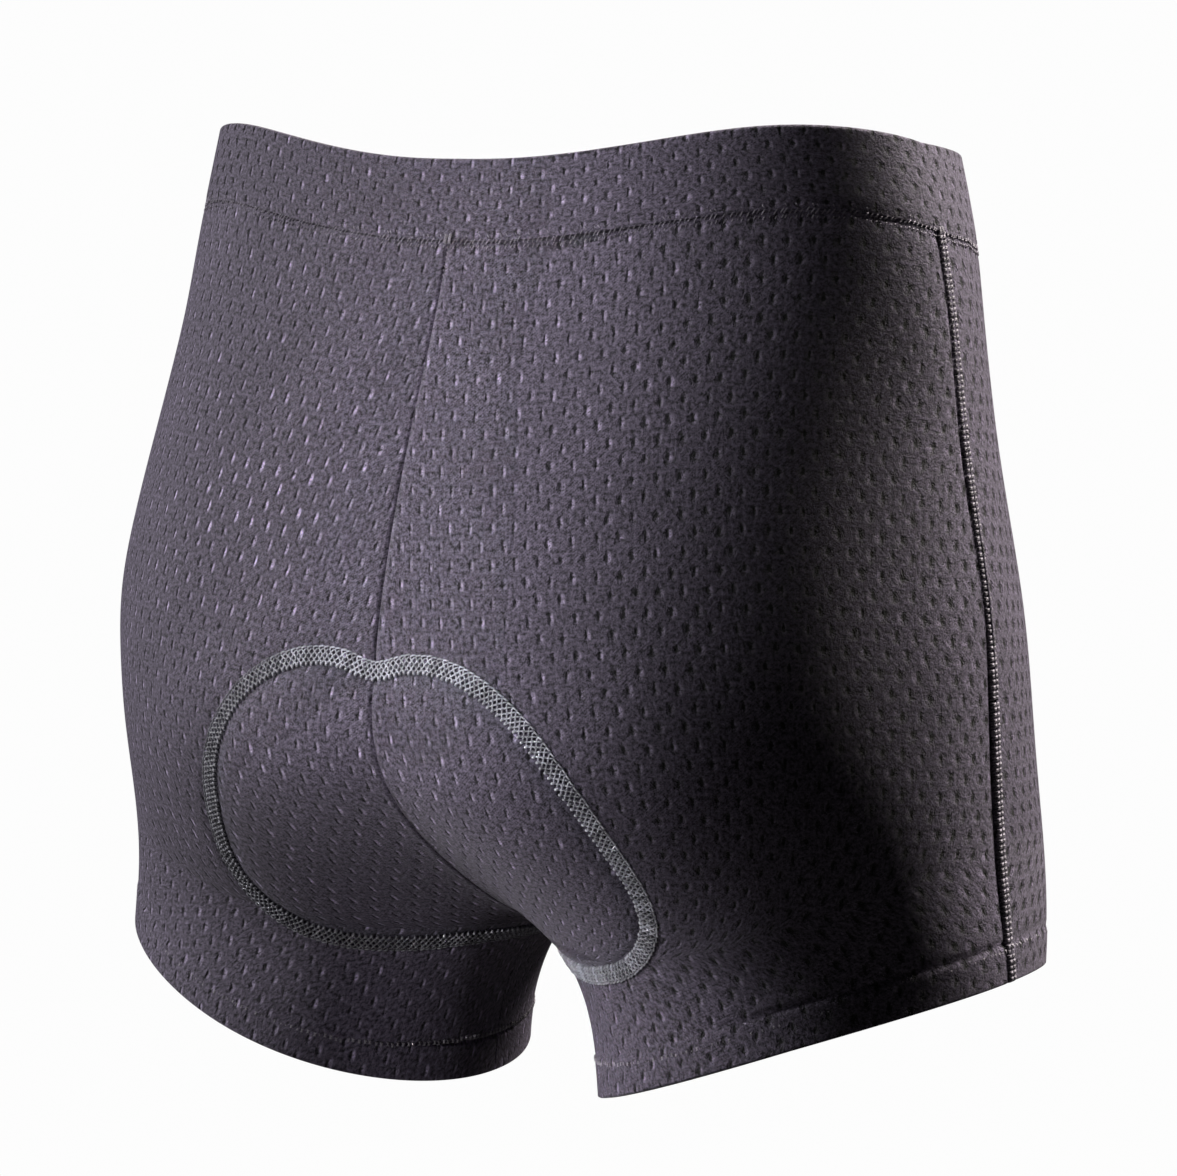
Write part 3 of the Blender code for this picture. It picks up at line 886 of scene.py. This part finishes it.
def mesh_knit(holes, grain):
    """The shorts' knit: its colour times the grain's tone, with a painted highlight on a wall of each hole
    and painted shade in its slot, and mixed with the pad's blue near its stitching. The bump is the grain's
    height less the holes' depth."""
    material, tree, shader = blank_material("dark mesh knit")
    cloth = cloth_place(tree)
    hole = node(tree, "ShaderNodeGroup", node_tree=holes)
    knit = node(tree, "ShaderNodeGroup", node_tree=grain)
    for used in (hole, knit):
        tree.links.new(cloth, used.inputs["Cloth"])
    tree.links.new(knit.outputs["Fuzz"], hole.inputs["Fuzz"])
    pull = node(tree, "ShaderNodeAttribute", attribute_name="pull").outputs["Fac"]
    tree.links.new(pull, hole.inputs["Pull"])
    tone = maths(tree, "MAXIMUM", between(tree, knit.outputs["Grain"], -2.2, 4.2), 0.1)
    tone = maths(tree, "MULTIPLY", tone, between(tree, knit.outputs["Cloud"], 0.85, 1.15))
    # Painted highlight: each hole's lit wall is painted lighter, some holes much more, less where the pull is
    # strong, and far more round the glint on the left seat.
    shine = between(tree, maths(tree, "POWER", hole.outputs["Chance"], 3.0), 1.1, 3.5)
    shine = maths(tree, "MULTIPLY", shine, between(tree, pull, 1.0, 0.7))
    glint = node(tree, "ShaderNodeAttribute", attribute_name="glint").outputs["Fac"]
    shine = maths(tree, "MULTIPLY_ADD", maths(tree, "MULTIPLY", glint, hole.outputs["Chance"]), 7.0, shine)
    tone = maths(tree, "MULTIPLY", tone, maths(tree, "MULTIPLY_ADD", hole.outputs["Painted Highlight"], shine, 1.0))
    # Painted shade: each hole's slot is painted dark, darker where the pull is strong.
    shadow = maths(tree, "MAXIMUM", between(tree, pull, -0.78, -0.98), -1.0)
    tone = maths(tree, "MULTIPLY", tone, maths(tree, "MULTIPLY_ADD", hole.outputs["Painted Shade"], shadow, 1.0))
    tint = node(tree, "ShaderNodeAttribute", attribute_name="tint").outputs["Fac"]
    tinted = {0: maths(tree, "MULTIPLY", tint, 0.2), 1: (*KNIT, 1), 2: (*PAD_BLUE, 1)}
    base = node(tree, "ShaderNodeMixRGB", tinted).outputs[0]
    shaded = node(tree, "ShaderNodeVectorMath", {0: base, "Scale": tone}, operation="SCALE").outputs[0]
    tree.links.new(shaded, shader.inputs["Base Color"])
    height = maths(tree, "MULTIPLY", knit.outputs["Grain"], 0.7)
    sunk_and_painted_shade = between(tree, pull, -0.6, -1.5)
    height = maths(tree, "MULTIPLY_ADD", hole.outputs["Depth"], sunk_and_painted_shade, height)
    bump = node(tree, "ShaderNodeBump", {"Height": height, "Distance": 0.001, "Strength": 1.0})
    tree.links.new(bump.outputs[0], shader.inputs["Normal"])
    shader.inputs["Roughness"].default_value = 0.72
    shader.inputs["Specular IOR Level"].default_value = 0.35
    shader.inputs["Sheen Weight"].default_value = 0.12
    shader.inputs["Sheen Roughness"].default_value = 0.45
    return material


def thread(name, colour):
    """Twisted sewing thread: fine slanting plies along each stitch, and a tone of its own for each stitch."""
    material, tree, shader = blank_material(name)
    place = node(tree, "ShaderNodeSeparateXYZ", {0: cloth_place(tree)}).outputs
    twist = maths(tree, "MULTIPLY_ADD", place["X"], 1.6, place["Y"])
    plies = maths(tree, "SINE", maths(tree, "MULTIPLY", twist, math.tau))
    stitch = maths(tree, "FLOOR", place["Y"])
    chance = node(tree, "ShaderNodeTexWhiteNoise", {"W": stitch}, noise_dimensions="1D").outputs["Value"]
    tone = maths(tree, "MULTIPLY_ADD", plies, 0.14, between(tree, chance, 0.65, 1.35))
    # Painted shade: the thread is darkened where the corners' shade says, low under the seat.
    sunk_and_painted_shade = node(tree, "ShaderNodeAttribute", attribute_name="sunk_and_painted_shade").outputs["Fac"]
    tone = maths(tree, "MULTIPLY", tone, between(tree, sunk_and_painted_shade, 1.0, 0.42))
    shaded = node(tree, "ShaderNodeVectorMath", {0: colour, "Scale": tone}, operation="SCALE").outputs[0]
    tree.links.new(shaded, shader.inputs["Base Color"])
    bump = node(tree, "ShaderNodeBump", {"Height": plies, "Distance": 0.00006, "Strength": 1.0})
    tree.links.new(bump.outputs[0], shader.inputs["Normal"])
    shader.inputs["Roughness"].default_value = 0.5
    shader.inputs["Sheen Weight"].default_value = 0.2
    return material


def brushed_pad(grain):
    """The pad's face: a soft brushed knit in blue grey."""
    material, tree, shader = blank_material("brushed pad knit")
    cloth = cloth_place(tree)
    knit = node(tree, "ShaderNodeGroup", {"Cloth": cloth, "Pitch": 1.6}, node_tree=grain)
    tone = between(tree, knit.outputs["Grain"], 0.7, 1.3)
    shaded = node(tree, "ShaderNodeVectorMath", {0: PAD_FACE, "Scale": tone}, operation="SCALE").outputs[0]
    tree.links.new(shaded, shader.inputs["Base Color"])
    brushed = {"Height": knit.outputs["Grain"], "Distance": 0.0002, "Strength": 1.0}
    bump = node(tree, "ShaderNodeBump", brushed)
    tree.links.new(bump.outputs[0], shader.inputs["Normal"])
    shader.inputs["Roughness"].default_value = 0.9
    shader.inputs["Sheen Weight"].default_value = 0.35
    return material


def white_round():
    """A white surround that only the camera sees, a dim one for light, and a pale floor far below."""
    world = bpy.data.worlds.new("studio")
    bpy.context.scene.world = world
    world.use_nodes = True
    tree = world.node_tree
    seen = node(tree, "ShaderNodeLightPath").outputs["Is Camera Ray"]
    background = tree.nodes["Background"]
    background.inputs["Color"].default_value = (1, 1, 1, 1)
    strength = between(tree, seen, AMBIENT, GROUND)
    tree.links.new(strength, background.inputs["Strength"])

    material, tree, shader = blank_material("pale floor")
    shader.inputs["Base Color"].default_value = (0.12, 0.12, 0.12, 1)
    shader.inputs["Roughness"].default_value = 0.9
    seen = node(tree, "ShaderNodeLightPath").outputs["Is Camera Ray"]
    glow = node(tree, "ShaderNodeEmission", {"Color": (1, 1, 1, 1), "Strength": GROUND}).outputs[0]
    both = node(tree, "ShaderNodeMixShader", {0: seen, 1: shader.outputs[0], 2: glow}).outputs[0]
    tree.links.new(both, tree.nodes["Material Output"].inputs["Surface"])
    mesh = bpy.data.meshes.new("floor")
    far, low = 12.0, -2.0
    corners = [(-far, -far, low), (far, -far, low), (far, far, low), (-far, far, low)]
    mesh.from_pydata(corners, [], [(0, 1, 2, 3)])
    mesh.materials.append(material)
    floor = bpy.data.objects.new("floor", mesh)
    bpy.context.scene.collection.objects.link(floor)


def way_off(turn, rise):
    """The way from the shorts, turned this far from straight behind to the wearer's right and raised this
    far."""
    return Vector((-math.sin(turn) * math.cos(rise), math.cos(turn) * math.cos(rise), math.sin(rise)))


def right_and_up(back):
    """What is right and up for an upright camera that looks along the opposite of back: two cross
    products."""
    right = (-back).cross(Vector((0, 0, 1))).normalized()
    return right, right.cross(-back)


def camera():
    """The camera at the photograph's angle, looking just beside the target so that it frames as the
    photograph does."""
    back = way_off(ROUND, ABOVE)
    right, up = right_and_up(back)
    place = TARGET + back * AWAY
    aim = TARGET + (right * OFF_MIDDLE[0] + up * OFF_MIDDLE[1]) * AWAY / FOCUS
    back = (place - aim).normalized()
    right, up = right_and_up(back)
    right, up = right * math.cos(LEAN) + up * math.sin(LEAN), up * math.cos(LEAN) - right * math.sin(LEAN)
    made = bpy.data.objects.new("camera", bpy.data.cameras.new("camera"))
    bpy.context.scene.collection.objects.link(made)
    made.data.sensor_width = SENSOR
    made.data.lens = SENSOR * FOCUS / PHOTO_WIDTH
    made.matrix_world = Matrix.Translation(place) @ Matrix((right, up, back)).transposed().to_4x4()
    bpy.context.scene.camera = made


def lamp(name, bearing, height, size, power, colour=(1, 1, 1), spread=180, aim=(0, 0)):
    """A soft lamp. Its bearing is in degrees to the right of the photograph's camera, seen from the shorts,
    its spread is how wide its light fans out, and it is aimed this many millimetres to the right of the
    target and above it."""
    way = way_off(ROUND + math.radians(bearing), math.radians(height))
    made = bpy.data.objects.new(name, bpy.data.lights.new(name, "AREA"))
    bpy.context.scene.collection.objects.link(made)
    made.data.shape = "RECTANGLE"
    made.data.size, made.data.size_y = size
    made.data.energy = power
    made.data.color = colour
    made.data.spread = math.radians(spread)
    made.location = TARGET + way * LAMP_AWAY
    right = Vector((-math.cos(ROUND), -math.sin(ROUND), 0))
    aimed = TARGET + (right * aim[0] + Vector((0, 0, aim[1]))) / 1000
    made.rotation_euler = (made.location - aimed).to_track_quat("Z", "Y").to_euler()


def main():
    """The light, the camera, the pieces and their stitching."""
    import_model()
    bpy.context.scene.view_settings.view_transform = "Standard"
    white_round()
    camera()
    lamp("key", -96, 20, (0.6, 1.4), 38)
    lamp("seat", -45, 18, (0.12, 0.7), 0.17, spread=4, aim=(46, 15))
    lamp("rim", 116, 47, (0.7, 0.8), 92, colour=(1.0, 0.94, 0.88))

    holes, grain = mesh_holes(), knit_grain()
    knit = mesh_knit(holes, grain)
    pad_thread = thread("grey blue thread", PAD_THREAD)
    side_thread = thread("mid grey thread", SIDE_THREAD)
    seam_thread = thread("dark grey thread", SEAM_THREAD)
    for side_name in SIDES:
        for half_name in HALVES:
            panel(side_name, half_name, knit)
    waistband(knit)
    pad(brushed_pad(grain))

    pad_stitching(pad_thread)
    for half_name in HALVES:
        side_seam_stitching(half_name, side_thread)
        hem_stitching(half_name, side_thread)
    for side_name in SIDES:
        centre_seam_stitching(side_name, seam_thread)
    waist_seam_stitching(seam_thread)
    bar_tacks(side_thread)


main()
